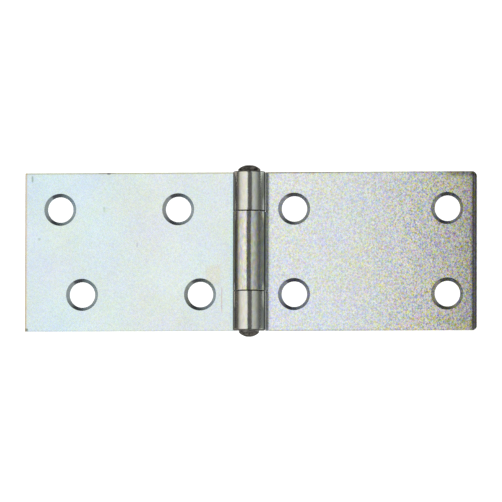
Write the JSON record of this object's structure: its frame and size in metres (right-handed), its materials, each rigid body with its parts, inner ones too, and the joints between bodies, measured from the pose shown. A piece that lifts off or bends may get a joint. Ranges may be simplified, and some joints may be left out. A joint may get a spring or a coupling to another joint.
{
  "type": "back flap hinge",
  "caption": "Flat sheet-steel hinge with two plain rectangular leaves, rolled knuckles proud of one face, a peened pin and countersunk screw holes.",
  "frame": {"origin": "on the pin axis, halfway along the pin; with the hinge lying open it is the middle of the whole hinge", "axes": "+X points from the pin to the far end of the centre-knuckle leaf, +Y runs along the pin, +Z points to the side on which the knuckles stand proud"},
  "size_m": [0.1, 0.0378, 0.0072],
  "materials": {
    "smooth_zinc_plate": "bright zinc plating on smooth sheet, faint blue and yellow passivation tint",
    "grained_zinc_plate": "bright zinc plating with a fine grain that scatters blue, yellow and violet glints",
    "pin_steel": "plated steel, dark and hammered at the peened heads"
  },
  "bodies": {
    "outer_leaf": {"outer_knuckle_leaf": "smooth_zinc_plate", "hinge_pin": "pin_steel"},
    "centre_leaf": {"centre_knuckle_leaf": "grained_zinc_plate"}
  },
  "joints": [
    {"name": "hinge_swing", "type": "hinge", "parent": "outer_leaf", "child": "centre_leaf", "pos_m": [0, 0, 0], "axis": [0, -1, 0], "range_deg": [-83, 184]}
  ]
}
